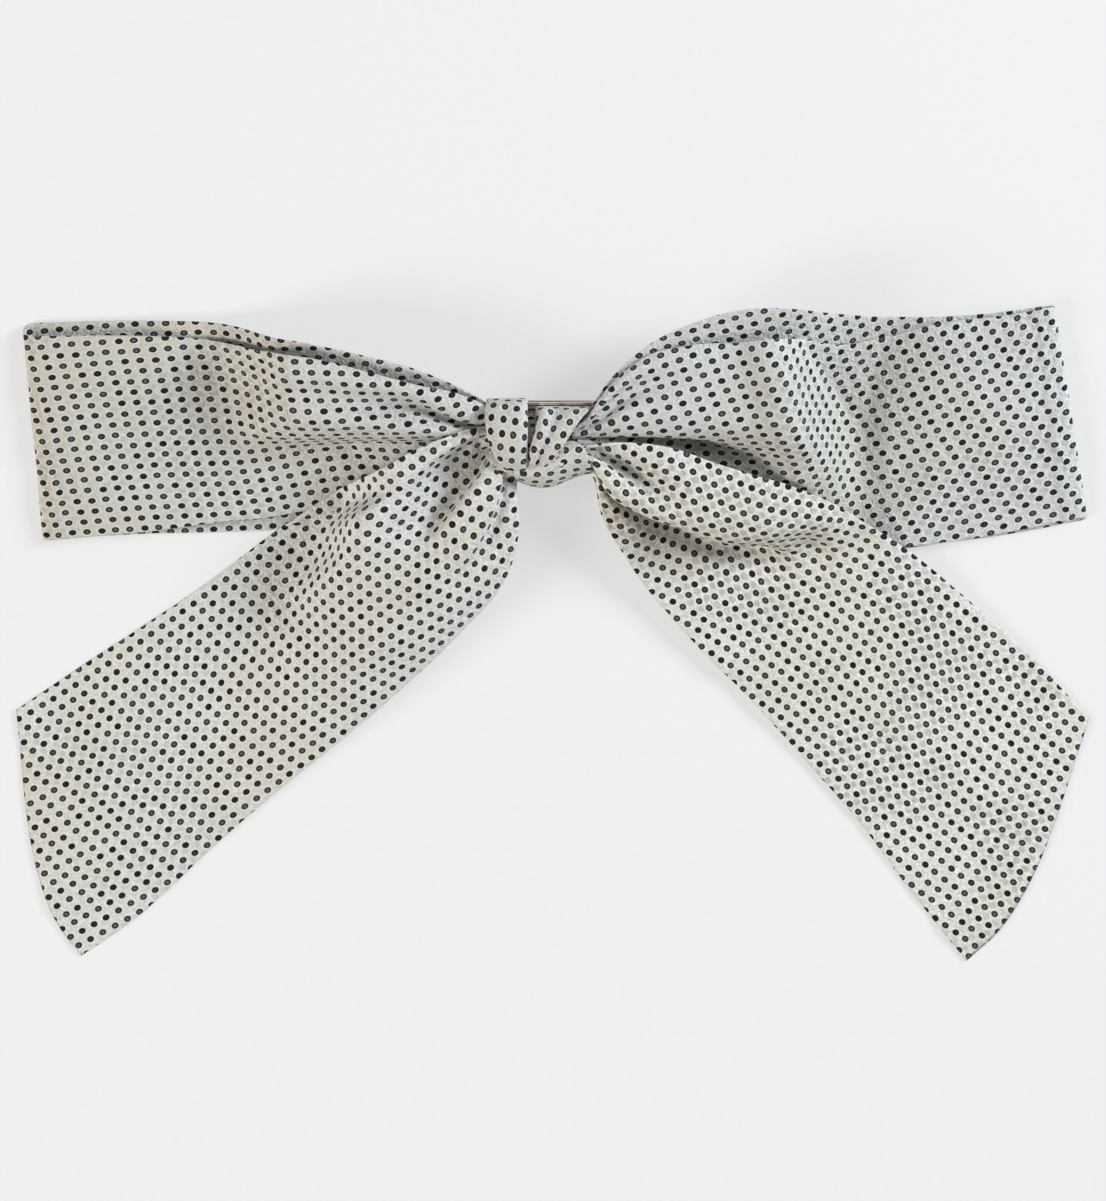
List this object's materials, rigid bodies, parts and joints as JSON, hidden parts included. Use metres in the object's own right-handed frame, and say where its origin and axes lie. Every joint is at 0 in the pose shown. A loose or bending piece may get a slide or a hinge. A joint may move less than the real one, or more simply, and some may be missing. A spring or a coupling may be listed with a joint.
{
  "type": "hair bow",
  "caption": "Soft dotted sash bow with two loops and two long tails, knotted round a spring hair clip with a hinged clasp arm and pinch catch.",
  "frame": {"origin": "middle of the closed clasp arm's flat underside, on the surface that the clip lies on", "axes": "+X along the clip to the bow's right, +Y to the bow's top, +Z out of the bow's face"},
  "size_m": [0.2475, 0.1542, 0.0224],
  "materials": {
    "dotted_sash": "sheer off-white two-ply weave printed with small charcoal dots",
    "sewing_thread": "matte thread",
    "rose_metal": "satin rose-bronze plated steel",
    "bare_steel": "bright spring steel"
  },
  "bodies": {
    "bow": {"left_loop": "dotted_sash", "right_loop": "dotted_sash", "left_tail": "dotted_sash", "right_tail": "dotted_sash", "knot_core": "dotted_sash", "knot_wrap": "dotted_sash", "knot_fold": "dotted_sash", "knot_band": "dotted_sash", "wrap_stitches": "sewing_thread", "clip_plate": "rose_metal", "hinge_bracket": "rose_metal", "hinge_pin": "bare_steel", "catch_base": "rose_metal", "clip_rivets": "bare_steel"},
    "arm": {"clasp_arm": "rose_metal", "leaf_spring": "bare_steel", "spring_rivet": "bare_steel"},
    "prong_top": {"catch_prong_top": "rose_metal"},
    "prong_bottom": {"catch_prong_bottom": "rose_metal"}
  },
  "joints": [
    {"name": "arm_hinge", "type": "hinge", "parent": "bow", "child": "arm", "pos_m": [-0.0365, 0, 0.0034], "axis": [0, 1, 0], "range_deg": [0, 95]},
    {"name": "pinch_top", "type": "hinge", "parent": "bow", "child": "prong_top", "pos_m": [0.033, 0.0012, 0.0058], "axis": [-1, 0, 0], "range_deg": [0, 8], "stiffness_Nm_per_rad": 0.02},
    {"name": "pinch_bottom", "type": "hinge", "parent": "bow", "child": "prong_bottom", "pos_m": [0.033, -0.0012, 0.0058], "axis": [1, 0, 0], "range_deg": [0, 8], "stiffness_Nm_per_rad": 0.02}
  ]
}
